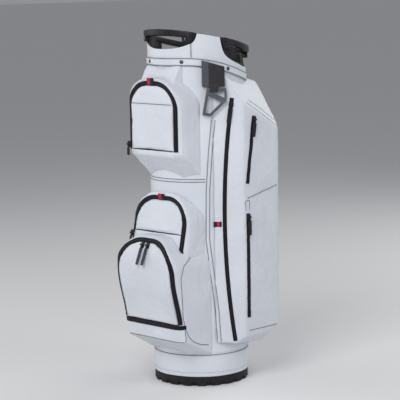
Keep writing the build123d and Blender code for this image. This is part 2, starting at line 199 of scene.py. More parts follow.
ribbonBlack = makeWoven("blackRibbon", (0.012, 0.012, 0.014), (0.03, 0.03, 0.034), 520.0)
# Painted shade: this dark grey, laid along the flat seams, stands for the shadow in each seam groove.
seamShadow = makeMoulded("seamPaintedShade", (0.17, 0.18, 0.205), (0.24, 0.25, 0.28), 0.6, 300.0, 0.1)
thread = makeWoven("whiteThread", (0.55, 0.57, 0.61), (0.72, 0.74, 0.78), 1400.0)
darkMetal = makeMetal("darkNickel", (0.10, 0.10, 0.11), 0.32)
rodMetal = makeMetal("rodAluminium", (0.62, 0.63, 0.65), 0.3)
padFoam = makeMoulded("basePadFoam", (0.02, 0.02, 0.02), (0.045, 0.045, 0.045), 0.9, 240.0, 0.6)
print("materials made")


def deselectAll():
    if bpy.context.object and bpy.context.object.mode != "OBJECT":
        bpy.ops.object.mode_set(mode="OBJECT")
    bpy.ops.object.select_all(action="DESELECT")


def pick(piece):
    deselectAll()
    piece.select_set(True)
    bpy.context.view_layer.objects.active = piece


def named(piece, name):
    piece.name = name
    piece.data.name = name
    return piece


def settle(piece, name):
    # Writes the object's place into its mesh and names it.
    pick(piece)
    bpy.ops.object.transform_apply(location=True, rotation=True, scale=True)
    return named(piece, name)


def applyModifier(piece, kind, **options):
    pick(piece)
    modifier = piece.modifiers.new(kind.title(), kind)
    for key, value in options.items():
        setattr(modifier, key, value)
    bpy.ops.object.modifier_apply(modifier=modifier.name)


def softSkin(piece, voxel, rounds):
    # Even quads all over, then rounded as padding rounds an edge.
    applyModifier(piece, "REMESH", mode="VOXEL", voxel_size=voxel * mm, use_smooth_shade=True)
    applyModifier(piece, "SMOOTH", factor=0.5, iterations=rounds)


def paint(piece, *materials):
    piece.data.materials.clear()
    for material in materials:
        piece.data.materials.append(material)
    return piece


def smoothShade(piece, angle=40):
    pick(piece)
    bpy.ops.object.shade_smooth_by_angle(angle=math.radians(angle))
    return piece


def finishPiece(piece, body, nodes):
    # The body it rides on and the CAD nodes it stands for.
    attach(piece, body)
    if nodes:
        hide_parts(*nodes)
    return piece


def copyNode(node, name):
    # A merged copy of a CAD node's mesh, to be softened.
    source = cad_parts[node]
    piece = source.copy()
    piece.data = source.data.copy()
    piece.parent = None
    bpy.context.scene.collection.objects.link(piece)
    named(piece, name)
    piece.hide_render = False
    shape = bmesh.new()
    shape.from_mesh(piece.data)
    bmesh.ops.remove_doubles(shape, verts=shape.verts, dist=0.00002)
    shape.to_mesh(piece.data)
    shape.free()
    return piece


def skinTree(piece):
    graph = bpy.context.evaluated_depsgraph_get()
    return BVHTree.FromObject(piece, graph)


def land(trees, origin, direction):
    # First surface met from outside, among several skins.
    best = None
    for tree in trees:
        point, normal, _, distance = tree.ray_cast(origin, direction)
        if point is not None and (best is None or distance < best[2]):
            best = (point, normal, distance)
    return best


def meshPiece(name, verts, faces, material):
    # A piece made from its own corners and faces, all facing outwards.
    mesh = bpy.data.meshes.new(name)
    mesh.from_pydata(verts, [], faces)
    piece = bpy.data.objects.new(name, mesh)
    bpy.context.scene.collection.objects.link(piece)
    shape = bmesh.new()
    shape.from_mesh(mesh)
    bmesh.ops.recalc_face_normals(shape, faces=shape.faces)
    shape.to_mesh(mesh)
    shape.free()
    return paint(piece, material)


def strip(name, points, normals, profile, material):
    # Runs a cross-section of (across, height) pairs along a path that lies on a skin.
    verts, faces = [], []
    count, wide = len(points), len(profile)
    for index, (point, normal) in enumerate(zip(points, normals)):
        before = points[max(index - 1, 0)]
        after = points[min(index + 1, count - 1)]
        along = (after - before).normalized()
        side = along.cross(normal).normalized()
        for across, height in profile:
            verts.append(point + side * across * mm + normal * height * mm)
    for row in range(count - 1):
        for k in range(wide - 1):
            a = row * wide + k
            faces.append((a, a + 1, a + wide + 1, a + wide))
        faces.append((row * wide + wide - 1, row * wide, row * wide + wide, row * wide + 2 * wide - 1))
    faces.append(tuple(range(wide - 1, -1, -1)))
    faces.append(tuple((count - 1) * wide + k for k in range(wide)))
    return smoothShade(meshPiece(name, verts, faces, material), 50)


def joinPieces(pieces, name):
    deselectAll()
    for piece in pieces:
        piece.select_set(True)
    bpy.context.view_layer.objects.active = pieces[0]
    if len(pieces) > 1:
        bpy.ops.object.join()
    return named(bpy.context.object, name)


def resample(points, step):
    # Even spacing along a chain of points.
    lengths = [0.0]
    for a, b in zip(points, points[1:]):
        lengths.append(lengths[-1] + (b - a).length)
    count = max(int(lengths[-1] / step), 2)
    spaced, index = [], 0
    for k in range(count + 1):
        target = lengths[-1] * k / count
        while index < len(lengths) - 2 and lengths[index + 1] < target:
            index += 1
        span = lengths[index + 1] - lengths[index] or 1.0
        spaced.append(points[index].lerp(points[index + 1], (target - lengths[index]) / span))
    return spaced


pathLook = {"step": 4.0, "standOff": 0.3}  # millimetres and metres


def laidPath(trees, origins, direction):
    # Drops a path onto the skins; each origin is in millimetres.
    aim = Vector(direction).normalized()
    points, normals = [], []
    for origin in resample([Vector(o) * mm for o in origins], pathLook["step"] * mm):
        hit = land(trees, origin - aim * pathLook["standOff"], aim)
        if hit:
            points.append(hit[0])
            normals.append(hit[1])
    smooth = []
    for index in range(len(normals)):
        group = normals[max(index - 2, 0):index + 3]
        smooth.append(sum(group, Vector()).normalized())
    return points, smooth


def outerShell(piece):
    # Drops closed shells that lie inside the outer one.
    pick(piece)
    bpy.ops.mesh.separate(type="LOOSE")
    parts = list(bpy.context.selected_objects)
    parts.sort(key=lambda part: part.dimensions.length, reverse=True)
    for part in parts[1:]:
        bpy.data.objects.remove(part, do_unlink=True)
    return parts[0]


creaseLook = {"sizeShare": 0.45, "depth": 0.55, "width": 0.22}


def crumple(piece, amount, size, seed, keep=None):
    # Gentle hollows and creases, as stuffed leatherette takes.
    data = piece.data
    shift = Vector((seed * 7.3, seed * 3.1, seed * 5.7))
    normals = [vertex.normal.copy() for vertex in data.vertices]
    for vertex, normal in zip(data.vertices, normals):
        place = vertex.co / mm
        wide = noise.noise(place / size + shift)
        crease = abs(noise.noise(place / (size * creaseLook["sizeShare"]) + shift * 2))
        fold = max(0.0, creaseLook["width"] - crease) / creaseLook["width"]
        push = amount * (wide - creaseLook["depth"] * fold)
        if keep:
            push *= keep(place)
        vertex.co += normal * push * mm


clothLook = {"quality": 5, "mass": 0.4, "stiffness": 25, "bending": 2, "frames": 16}


def inflate(piece, cap, pressure):
    # Air pressure rounds the cloth of a panel; no corner moves further than the cap.
    before = [vertex.co.copy() for vertex in piece.data.vertices]
    pick(piece)
    cloth = piece.modifiers.new("Cloth", "CLOTH")
    settings = cloth.settings
    settings.quality = clothLook["quality"]
    settings.mass = clothLook["mass"]
    settings.use_pressure = True
    settings.uniform_pressure_force = pressure
    settings.effector_weights.gravity = 0
    for stiffness in ("tension_stiffness", "compression_stiffness", "shear_stiffness"):
        setattr(settings, stiffness, clothLook["stiffness"])
    settings.bending_stiffness = clothLook["bending"]
    scene = bpy.context.scene
    last = clothLook["frames"]
    scene.frame_start, scene.frame_end = 1, last
    cloth.point_cache.frame_start, cloth.point_cache.frame_end = 1, last
    for step in range(1, last + 1):
        scene.frame_set(step)
    bpy.ops.object.modifier_apply(modifier=cloth.name)
    for vertex, start in zip(piece.data.vertices, before):
        move = vertex.co - start
        if move.length > cap * mm:
            vertex.co = start + move.normalized() * cap * mm
    scene.frame_set(1)


def lineInside(piece, lining):
    # Faces that look at the same piece belong to the inside; then each takes its neighbours' side.
    reach = 0.26
    piece.data.materials.append(lining)
    corners = [vertex.co for vertex in piece.data.vertices]
    tree = BVHTree.FromPolygons(corners, [face.vertices for face in piece.data.polygons])
    for face in piece.data.polygons:
        start = face.center + face.normal * 0.0015
        if tree.ray_cast(start, face.normal, reach)[0] is not None:
            face.material_index = 1
    shape = bmesh.new()
    shape.from_mesh(piece.data)
    for _ in range(4):
        votes = []
        for face in shape.faces:
            around = [other.material_index for edge in face.edges for other in edge.link_faces
                      if other != face]
            votes.append(sum(around) * 2 > len(around) if around else face.material_index)
        for face, vote in zip(shape.faces, votes):
            face.material_index = int(vote)
    shape.to_mesh(piece.data)
    shape.free()


def regrow(piece, node):
    # Gives back what the rounding took, so that it fills the CAD piece's box.
    low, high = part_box(node)
    for axis in range(3):
        values = [vertex.co[axis] for vertex in piece.data.vertices]
        start, end = min(values), max(values)
        factor = (high[axis] - low[axis]) / (end - start)
        for vertex in piece.data.vertices:
            vertex.co[axis] = low[axis] + (vertex.co[axis] - start) * factor


def softened(node, name, body, voxel, rounds, materials):
    # A soft stand-in for one CAD piece.
    piece = copyNode(node, name)
    if "pocket" in node:
        piece = outerShell(piece)
    softSkin(piece, voxel, rounds)
    regrow(piece, node)
    paint(piece, *materials)
    return finishPiece(named(piece, name), body, (node,))


def stitchRow(name, points, normals, across, pitch=4.4, length=2.9, width=0.75):
    # One short capsule of thread for each stitch along a path.
    spaced = resample(points, pitch * mm)
    verts, faces = [], []
    total = len(points)
    for index, point in enumerate(spaced[:-1]):
        share = index / max(len(spaced) - 1, 1)
        normal = normals[min(int(share * total), total - 1)]
        along = (spaced[index + 1] - point).normalized()
        side = along.cross(normal).normalized()
        base = point + side * across * mm + normal * 0.1 * mm
        start = len(verts)
        for reach, half, height in ((0, 0.25, 0.0), (0.25, 0.5, 0.42), (0.75, 0.5, 0.42), (1, 0.25, 0.0)):
            for turn in (-1, 0, 1):
                lift = height * (1.0 if turn == 0 else 0.55)
                verts.append(base + along * reach * length * mm + side * turn * half * width * mm
                             + normal * (lift + 0.02) * mm)
        for row in range(3):
            for k in range(2):
                a = start + row * 3 + k
                faces.append((a, a + 1, a + 4, a + 3))
            a = start + row * 3
            faces.append((a + 2, a, a + 3, a + 5))
        faces.append((start + 2, start + 1, start))
        faces.append((start + 9, start + 10, start + 11))
    return meshPiece(name, verts, faces, thread)


# Cross-section of the low strip that carries the painted seam shade.
shadeStripProfile = ((-1.15, -0.6), (-1.15, 0.1), (-0.4, 0.22), (0.4, 0.22), (1.15, 0.1), (1.15, -0.6))
ridgeProfile = ((-1.9, -0.8), (-1.5, 0.55), (-0.7, 1.15), (0.0, 1.35), (0.7, 1.15), (1.5, 0.55), (1.9, -0.8))
zipProfile = ((-5.2, -1.2), (-5.2, 0.8), (-4.2, 1.35), (-2.0, 1.3), (-1.5, 0.7), (-1.1, 1.25), (-0.4, 1.5),
              (0.4, 1.5), (1.1, 1.25), (1.5, 0.7), (2.0, 1.3), (4.2, 1.35), (5.2, 0.8), (5.2, -1.2))
coilProfile = ((-0.9, 1.0), (-0.7, 1.75), (0.7, 1.75), (0.9, 1.0))


def scaled(profile, factor):
    return tuple((across * factor, height) for across, height in profile)


def seamLine(name, trees, origins, direction, body="bag", rows=(-3.0, 3.0), raised=False):
    points, normals = laidPath(trees, origins, direction)
    if raised:
        line = strip(name, points, normals, ridgeProfile, whiteLeather)
    else:
        # A flat seam is a low strip in painted shade, the shadow of the seam groove.
        line = strip(name, points, normals, shadeStripProfile, seamShadow)
    parts = [line]
    for index, across in enumerate(rows):
        parts.append(stitchRow(name + "Stitches" + str(index), points, normals, across))
    return finishPiece(joinPieces(parts, name), body, ())


def zipBand(name, trees, origins, direction, node, wide=1.0):
    # Woven tape on both sides of a row of coils.
    points, normals = laidPath(trees, origins, direction)
    band = strip(name, points, normals, scaled(zipProfile, wide), tapeCloth)
    coil = strip(name + "Coil", points, normals, coilProfile, pullRubber)
    rows = [stitchRow(name + "Row" + str(k), points, normals, across * wide, 4.0, 2.4, 0.6)
            for k, across in enumerate((-3.3, 3.3))]
    for row in rows:
        paint(row, handleRubber)
        for index, vertex in enumerate(row.data.vertices):
            share = index / max(len(row.data.vertices) - 1, 1)
            vertex.co += normals[min(int(share * len(normals)), len(normals) - 1)] * 1.3 * mm
    band = joinPieces([band, coil] + rows, name)
    return finishPiece(band, "bag", (node,))


def archPath(half, bottom, top, radius):
    # Up one leg, round the top and down the other.
    depth, steps = 300.0, 14
    points = [(-half, -depth, bottom), (-half, -depth, top - radius)]
    for index in range(1, steps + 1):
        turn = math.pi / 2 * index / steps
        reach, rise = radius * math.cos(turn), radius * math.sin(turn)
        points.append((-half + radius - reach, -depth, top - radius + rise))
    points += [(-x, y, z) for x, y, z in reversed(points)]
    return points


def tubeSkin(name, outer, thick, lowEdge, highEdge, columns, rows):
    # A sheet rolled into a tube; the edges follow functions of the angle.
    deselectAll()
    bpy.ops.mesh.primitive_grid_add(x_subdivisions=columns, y_subdivisions=rows, size=2)
    piece = bpy.context.object
    for vertex in piece.data.vertices:
        angle = vertex.co.x * math.pi
        share = (vertex.co.y + 1) / 2
        low, high = lowEdge(angle), highEdge(angle)
        radius = outer * mm
        height = low + (high - low) * share
        vertex.co = Vector((math.sin(angle) * radius, -math.cos(angle) * radius, height * mm))
    pick(piece)
    bpy.ops.object.mode_set(mode="EDIT")
    bpy.ops.mesh.select_all(action="SELECT")
    bpy.ops.mesh.remove_doubles(threshold=0.00001)
    bpy.ops.object.mode_set(mode="OBJECT")
    applyModifier(piece, "SOLIDIFY", thickness=thick * mm, offset=-1, use_even_offset=False)
    return named(smoothShade(piece, 50), name)


leanSlope = math.tan(math.radians(12.5))


def leanPlane(height, radius):
    # Height of the leaning collar plane at each angle round the tube.
    return lambda angle: height + math.cos(angle) * radius * leanSlope


base = {"voxel": 1.9, "rounds": 3, "sleeveOuter": 121.2, "sleeveThick": 3.4, "sleeveLow": 24.6,
        "sleeveHigh": 84.4, "edge": 4.0, "tuck": 0.006, "soft": 0.5, "size": 55}
softened("base_cup", "base_cup_moulded", "bag", base["voxel"], base["rounds"], (baseRubber,))
sleeve = tubeSkin("base_sleeve_wrap", base["sleeveOuter"], base["sleeveThick"], lambda a: base["sleeveLow"],
                  lambda a: base["sleeveHigh"], 180, 14)
for vertex in sleeve.data.vertices:
    rise = vertex.co.z / mm
    pinch = min(abs(rise - base["sleeveLow"]), abs(rise - base["sleeveHigh"])) / base["edge"]
    if pinch < 1:
        vertex.co.x *= 1 - base["tuck"] * (1 - pinch)
        vertex.co.y *= 1 - base["tuck"] * (1 - pinch)
crumple(sleeve, base["soft"], base["size"], 3)
paint(sleeve, whiteLeather)
finishPiece(sleeve, "bag", ("base_sleeve",))
for node, material in (("base_pad", padFoam), ("tube_shell", framePlastic), ("stay_rods", rodMetal),
                       ("collar_frame", framePlastic), ("collar_screws", darkMetal),
                       ("divider_long_bars", framePlastic), ("divider_short_bars", framePlastic),
                       ("strap_upper_ring", darkMetal), ("strap_lower_ring", darkMetal),
                       ("strap_upper_anchor", darkMetal), ("strap_lower_anchor", darkMetal)):
    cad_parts[node].data.materials[0] = material
print("base done")


cover = {"outer": 122.3, "thick": 4.0, "bottom": 84.6, "top": 787.0, "soft": 0.9, "size": 95}
bodyCover = tubeSkin("body_cover_leather", cover["outer"], cover["thick"], lambda a: cover["bottom"],
                     leanPlane(cover["top"], cover["outer"]), 150, 110)
crumple(bodyCover, cover["soft"], cover["size"], 1)
paint(bodyCover, whiteLeather)
finishPiece(bodyCover, "bag", ("body_cover",))
print("body cover done")


pocketLook = {"voxel": 3.2, "rounds": 7, "soft": 1.5, "size": 62}
rimLook = {"out": 16, "width": 26, "front": -110, "share": 0.15}


def edgeKeep(half, bottom, top):
    # Still near the door's edge, free elsewhere.
    def share(place):
        out = rimLook["out"]
        inside = min(half + out - abs(place.x), place.z - bottom + out, top + out - place.z)
        still = place.y < rimLook["front"] and 0 < inside < rimLook["width"]
        return rimLook["share"] if still else 1.0
    return share


def softPocket(node, name, seed, keep=None):
    piece = softened(node, name, "bag", pocketLook["voxel"], pocketLook["rounds"], (whiteLeather,))
    crumple(piece, pocketLook["soft"], pocketLook["size"], seed, keep)
    lineInside(piece, liningCloth)
    smoothShade(piece, 60)
    return piece


upperPocket = softPocket("upper_pocket", "upper_pocket_soft", 4, edgeKeep(85, 600, 772))
middlePocket = softPocket("middle_pocket", "middle_pocket_soft", 5, edgeKeep(93, 380, 484))
ballPocket = softPocket("ball_pocket", "ball_pocket_soft", 6, edgeKeep(104, 171, 384))
rightPocket = softPocket("right_pocket", "right_pocket_soft", 7)
leftPocket = softPocket("left_pocket", "left_pocket_soft", 8)
print("pockets done")


doorLook = {"voxel": 2.3, "rounds": 4, "soft": 0.7, "size": 48, "pressure": 5.0, "cap": 2.6, "fold": 0.8,
            "foldReach": 2.5}


def softDoor(node, name, body, seed):
    piece = softened(node, name, body, doorLook["voxel"], doorLook["rounds"], (whiteLeather,))
    inflate(piece, doorLook["cap"], doorLook["pressure"])
    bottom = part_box(node)[0][2]
    for vertex in piece.data.vertices:
        if vertex.co.z < bottom + doorLook["foldReach"] * mm:
            vertex.co.z -= doorLook["fold"] * mm
    crumple(piece, doorLook["soft"], doorLook["size"], seed)
    smoothShade(piece, 60)
    return piece


upperDoor = softDoor("upper_flap", "upper_flap_soft", "upper_door", 11)
middleDoor = softDoor("middle_flap", "middle_flap_soft", "middle_door", 12)
ballDoor = softDoor("ball_panel", "ball_panel_soft", "ball_door", 13)
print("doors done")

trees = {
    "upper": skinTree(upperPocket),
    "middle": skinTree(middlePocket),
    "ball": skinTree(ballPocket),
    "right": skinTree(rightPocket),
    "left": skinTree(leftPocket),
    "cover": skinTree(bodyCover),
    "upperDoor": skinTree(upperDoor),
    "middleDoor": skinTree(middleDoor),
    "ballDoor": skinTree(ballDoor),
    "sleeve": skinTree(sleeve),
}


zipBand("upper_zip_tape", [trees["upper"]], archPath(80.4, 600, 767, 64), (0, 1, 0), "upper_zip", 1.05)
zipBand("middle_zip_tape", [trees["middle"]], archPath(88.2, 346, 479, 65), (0, 1, 0), "middle_zip", 1.05)
zipBand("ball_zip_tape", [trees["ball"]], archPath(97.6, 173, 377.8, 82), (0, 1, 0), "ball_zip", 1.12)


def chamferPoint(across, height, side):
    # A place in front of the slanted face between front and side.
    root = math.sqrt(0.5)
    corner, out = 82.5, 200.0
    x = corner + across * root + out * root
    y = -corner + across * root - out * root
    return (side * x, y, height)


longZip = {"low": 116, "reach": 612, "steps": 60, "arc": 2100, "arcCentre": 2164, "arcHeight": 425}


def longZipAcross(height):
    # The long zips bow in a wide arc.
    return longZip["arcCentre"] - math.sqrt(longZip["arc"] ** 2 - (height - longZip["arcHeight"]) ** 2)


longHeights = [longZip["low"] + longZip["reach"] * index / longZip["steps"]
               for index in range(longZip["steps"] + 1)]
for side, label in ((1, "right"), (-1, "left")):
    places = [chamferPoint(longZipAcross(height), height, side) for height in longHeights]
    zipBand(label + "_long_zip_tape", [trees[label]], places, (-side, 1, 0), label + "_long_zip")
for node, places in (("right_upper_zip", [(330, 33, 681), (330, 8, 513)]),
                     ("right_lower_zip", [(330, 8, 438), (330, 8, 174)])):
    zipBand(node + "_tape", [trees["right"]], places, (-1, 0, 0), node, 1.1)

sliderLook = {"voxel": 0.55, "rounds": 3}
runners = ("upper", "middle", "ball_left", "ball_right", "right_long", "left_long", "right_upper",
           "right_lower")
for label in runners:
    for part, made, material in (("_slider", "_cast", framePlastic), ("_pull", "_moulded", pullRubber)):
        node = label + part
        softened(node, node + made, node, sliderLook["voxel"], sliderLook["rounds"], (material,))
print("zips done")


frontSide = ((111, -56, 674), (106.5, -64, 590), (103, -70, 500), (101.5, -72, 375), (107, -62, 280),
             (112, -53, 190), (114, -49, 112))
for side, label in ((1, "right"), (-1, "left")):
    skins = [trees[label]]
    for number, shift in enumerate((-3.0, 3.4)):
        places = [(side * (x + shift + 150), y + shift - 150, z) for x, y, z in frontSide]
        seamLine(label + "_front_seam_" + str(number), skins + [trees["cover"]], places, (-side, 1, 0),
                 rows=(2.6,))
    seamLine(label + "_back_seam", skins, [(side * 148, 400, 720), (side * 148, 400, 130)], (0, -1, 0))
    seamLine(label + "_bottom_seam", skins, [(side * 330, 8, 140), (side * 330, 129, 140)], (-side, 0, 0),
             rows=(3.0,))
    seamLine(label + "_shoulder_seam", skins, [(side * 330, 12, 716), (side * 330, 130, 646)], (-side, 0, 0))
seamLine("right_garage_seam", [trees["right"]], [(330, 8, 476), (330, 118, 500)], (-1, 0, 0))
seamLine("right_garage_edge", [trees["right"]],
         [(330, 1, 446), (330, 1, 470), (330, 15, 470), (330, 15, 446)], (-1, 0, 0), rows=())
seamLine("upper_cross_seam", [trees["upperDoor"]], [(-71, -300, 716), (71, -300, 716)], (0, 1, 0),
         "upper_door")
seamLine("upper_edge_piping", [trees["upper"]], archPath(90.2, 560, 776, 74), (0, 1, 0), rows=(), raised=True)
seamLine("ball_edge_piping", [trees["ball"]], [(-103, -300, 172), (-103, -300, 128), (103, -300, 128),
                                               (103, -300, 172)], (0, 1, 0), rows=(3.2,))
seamLine("waist_seam", [trees["middle"], trees["upper"], trees["cover"]],
         [(-98, -300, 520), (98, -300, 520)], (0, 1, 0))
seamLine("waist_upper_seam", [trees["cover"]], [(-98, -300, 527), (98, -300, 527)], (0, 1, 0), rows=())
gusset = ((-74, 372), (-160, 318), (-171, 290), (-164, 190), (-156, 160), (-146, 139), (-128, 124),
          (-105, 114), (-78, 109))
for side, label in ((1, "right"), (-1, "left")):
    seamLine(label + "_gusset_seam", [trees["ball"]], [(side * 330, y, z) for y, z in gusset], (-side, 0, 0),
             rows=(3.0,))
    seamLine(label + "_edge_piping", [trees[label]],
             [(side * 330, 131, 646), (side * 330, 131, 120)], (-side, 0, 0), rows=(), raised=True)
bindingProfile = ((-5.4, -1.0), (-5.4, 0.9), (-4.2, 1.5), (4.2, 1.5), (5.4, 0.9), (5.4, -1.0))
bindingPath = laidPath([trees["ball"]], [(-104, -300, 165.5), (104, -300, 165.5)], (0, 1, 0))
binding = strip("ball_binding_tape", *bindingPath, bindingProfile, tapeCloth)
finishPiece(binding, "bag", ("ball_binding",))


def ringPath(radius, heightAt, count=120):
    # Points round the tube and the way each one faces.
    angles = [2 * math.pi * k / count for k in range(count + 1)]
    points = [Vector((math.sin(a) * radius, -math.cos(a) * radius, heightAt(a))) * mm for a in angles]
    normals = [Vector((point.x, point.y, 0)).normalized() for point in points]
    return points, normals


def ringSeam(name, radius, heightAt, rows):
    points, normals = ringPath(radius, heightAt)
    # The seam line is a strip of painted shade, the shadow in the seam groove.
    parts = [strip(name, points, normals, shadeStripProfile, seamShadow)]
    for index, across in enumerate(rows):
        parts.append(stitchRow(name + "Row" + str(index), points, normals, across))
    return finishPiece(joinPieces(parts, name), "bag", ())


ringSeam("base_top_seam", 121.6, lambda a: 80.0, (3.4,))
# The low stitch row is painted with the seams' painted-shade grey instead of thread colour.
lowStitches = stitchRow("base_low_stitching", *ringPath(121.3, lambda a: 35.0, 180), 0.0, 5.2, 3.0, 1.1)
finishPiece(paint(lowStitches, seamShadow), "bag", ())
print("seams done")


collar = {"wrapOuter": 124.6, "wrapThick": 3.6, "wrapLow": 800.0, "wrapHigh": 869.4, "bandOuter": 126.4,
          "bandThick": 3.4, "bandLow": 786.0, "bandHigh": 803.0, "wave": 4.2, "wrapMiddle": 122.5,
          "bandMiddle": 124.0}
# For each handle: its angle, and the depth, half width in degrees and sag of the dip below it.
handleCuts = ((0.0, 47.0, 45.5, 0.36), (120.0, 57.0, 46.5, 0.2), (-120.0, 57.0, 46.5, 0.2))


def cutDepth(angle):
    # How far the rim of the wrap dips under each handle.
    total = 0.0
    for centre, depth, half, sag in handleCuts:
        away = abs((math.degrees(angle) - centre + 180) % 360 - 180) / half
        if away < 1:
            smile = 1 - sag * min(away / 0.8, 1.0) ** 2.2
            shoulder = max(0.0, (away - 0.72) / 0.28) ** 2.6
            total = max(total, depth * smile * (1 - shoulder) ** 0.6)
    return total


def wrapTop(angle):
    lean = leanPlane(collar["wrapHigh"], collar["wrapMiddle"])(angle)
    return lean - cutDepth(angle)


def bandEdge(height):
    # The snap band leans with the collar and waves three times round it.
    lean = leanPlane(height, collar["bandMiddle"])
    return lambda angle: lean(angle) - collar["wave"] * math.cos(3 * angle)


wrap = tubeSkin("collar_wrap_leather", collar["wrapOuter"], collar["wrapThick"],
                leanPlane(collar["wrapLow"], collar["wrapMiddle"]), wrapTop, 360, 16)
applyModifier(wrap, "BEVEL", width=1.1 * mm, segments=2, limit_method="ANGLE", angle_limit=math.radians(50))
crumple(wrap, 0.5, 40, 21)
paint(wrap, whiteLeather)
smoothShade(wrap, 50)
finishPiece(wrap, "bag", ("collar_wrap",))
band = tubeSkin("collar_band_leather", collar["bandOuter"], collar["bandThick"], bandEdge(collar["bandLow"]),
                bandEdge(collar["bandHigh"]), 270, 6)
applyModifier(band, "BEVEL", width=0.9 * mm, segments=2, limit_method="ANGLE", angle_limit=math.radians(50))
paint(band, whiteLeather)
smoothShade(band, 50)
finishPiece(band, "bag", ("collar_band",))
bandRims = (("band_low", collar["bandLow"], 2.4), ("band_high", collar["bandHigh"], -2.4))
for name, height, inwards in bandRims:
    points, normals = ringPath(collar["bandOuter"], bandEdge(height + inwards), 180)
    finishPiece(stitchRow(name + "_stitching", points, normals, 0.0), "bag", ())
for name, height, inwards in bandRims:
    ringSeam(name + "_seam", collar["bandOuter"] + 0.1, bandEdge(height), ())
for number, turn in enumerate((39.0, 180.0, -39.0)):
    angle = math.radians(turn)
    outward = Vector((math.sin(angle), -math.cos(angle), 0))
    low = leanPlane(collar["wrapLow"], collar["wrapMiddle"])(angle) + 8
    heights = [low + (wrapTop(angle) - low) * step / 12 for step in range(13)]
    points = [outward * (collar["wrapOuter"] + 0.15) * mm + Vector((0, 0, height * mm)) for height in heights]
    # Each wrap seam is a strip of painted shade, the shadow in the seam groove.
    line = strip("wrap_seam", points, [outward] * len(points), shadeStripProfile, seamShadow)
    rows = [stitchRow("wrapStitches", points, [outward] * len(points), across) for across in (-2.6, 2.6)]
    finishPiece(joinPieces([line] + rows, "wrap_seam_" + str(number)), "bag", ())

handleLook = {"voxel": 1.6, "rounds": 5}
for label in ("front", "right", "left"):
    softened(label + "_handle", label + "_handle_moulded", "bag", handleLook["voxel"], handleLook["rounds"],
             (handleRubber,))

studLook = {"turns": (28, -22, 57, -57, 83, -83, 135, -135), "height": 794.5, "dome": 4.0, "flat": 0.42,
            "ring": 4.3, "ringThick": 0.75}
studs = []
for turn in studLook["turns"]:
    angle = math.radians(turn)
    height = bandEdge(studLook["height"])(angle)
    outward = Vector((math.sin(angle), -math.cos(angle), 0))
    centre = outward * (collar["bandOuter"] + 0.2) * mm + Vector((0, 0, height * mm))
    facing = outward.to_track_quat("Z", "Y").to_euler()
    deselectAll()
    bpy.ops.mesh.primitive_uv_sphere_add(segments=24, ring_count=12, radius=studLook["dome"] * mm,
                                         location=centre, rotation=facing)
    dome = bpy.context.object
    dome.scale = (1, 1, studLook["flat"])
    settle(dome, "dome")
    paint(dome, darkMetal)
    deselectAll()
    bpy.ops.mesh.primitive_torus_add(location=centre, rotation=facing, major_radius=studLook["ring"] * mm,
                                     minor_radius=studLook["ringThick"] * mm, major_segments=28,
                                     minor_segments=8)
    rim = bpy.context.object
    settle(rim, "rim")
    paint(rim, darkMetal)
    studs += [smoothShade(dome), smoothShade(rim)]
finishPiece(joinPieces(studs, "snap_studs_domed"), "bag", ("snap_studs",))
print("collar done")


dividerLook = {"low": 19.0, "radius": 93.6, "thick": 1.2, "sway": 2.6, "top": 796.0, "gap": 0.7,
               "rows": (-54.0, 0.0, 54.0), "outerPosts": (-32.0, 32.0)}


def sleeveTop(y):
    return dividerLook["top"] - y * leanSlope


def hangingSheet(name, start, end, seed):
    # Cloth that hangs from a divider bar down to the base.
    deselectAll()
    bpy.ops.mesh.primitive_grid_add(x_subdivisions=24, y_subdivisions=60, size=2)
    piece = bpy.context.object
    start, end = Vector(start), Vector(end)
    across = (end - start).normalized()
    side = Vector((-across.y, across.x))
    for vertex in piece.data.vertices:
        share, rise = (vertex.co.x + 1) / 2, (vertex.co.y + 1) / 2
        place = start.lerp(end, share)
        height = dividerLook["low"] + (sleeveTop(place.y) - dividerLook["low"]) * rise
        free = math.sin(math.pi * share) * math.sin(math.pi * rise)
        sway = dividerLook["sway"] * free * math.sin(share * 9 + seed + rise * 2.5)
        place = place + side * sway
        vertex.co = Vector((place.x, place.y, height)) * mm
    applyModifier(piece, "SOLIDIFY", thickness=dividerLook["thick"] * mm, offset=0)
    return named(smoothShade(piece, 60), name)


curtains = []
rows, gap = dividerLook["rows"], dividerLook["gap"]
for index, row in enumerate(rows):
    half = math.sqrt(dividerLook["radius"] ** 2 - row ** 2)
    curtains.append(hangingSheet("long", (-half, row), (half, row), index * 1.7))
for index in range(len(rows) + 1):
    for post in (rows if index in (1, 2) else dividerLook["outerPosts"]):
        reach = math.sqrt(dividerLook["radius"] ** 2 - post ** 2)
        low = -reach if index == 0 else max(rows[index - 1] + gap, -reach)
        high = reach if index == len(rows) else min(rows[index] - gap, reach)
        curtains.append(hangingSheet("short", (post, low), (post, high), index + post))
sleeves = joinPieces(curtains, "divider_sleeves_cloth")
paint(sleeves, liningCloth)
finishPiece(sleeves, "bag", ("divider_sleeves",))
print("dividers done")


def ribbonLoop(name, node, centre, right, normal, width, drop, rise=1.5, redAt=-0.4):
    # A short folded loop in three stripes.
    up = Vector((0, 0, 1))
    right, normal = Vector(right).normalized(), Vector(normal).normalized()
    deselectAll()
    bpy.ops.mesh.primitive_grid_add(x_subdivisions=12, y_subdivisions=16, size=2)
    piece = bpy.context.object
    centre = Vector(centre)
    for vertex in piece.data.vertices:
        across, run = vertex.co.x, (vertex.co.y + 1) * math.pi / 2
        lift = rise + 1.25 * math.sin(run) - 0.2 * math.cos(across * 2.0)
        reach = math.cos(run) * drop / 2
        place = centre + right * across * width / 2 + up * (-abs(reach) * 2 + drop / 2)
        place += normal * (lift if reach < 0 else lift - 1.1)
        vertex.co = place * mm
    paint(piece, ribbonRed, ribbonBlack)
    for face in piece.data.polygons:
        offset = (face.center / mm - centre).dot(right) / (width / 2)
        face.material_index = 0 if abs(offset - redAt) < 0.36 else 1
    applyModifier(piece, "SOLIDIFY", thickness=0.6 * mm, offset=0)
    named(smoothShade(piece, 60), name)
    return finishPiece(piece, "bag", (node,))


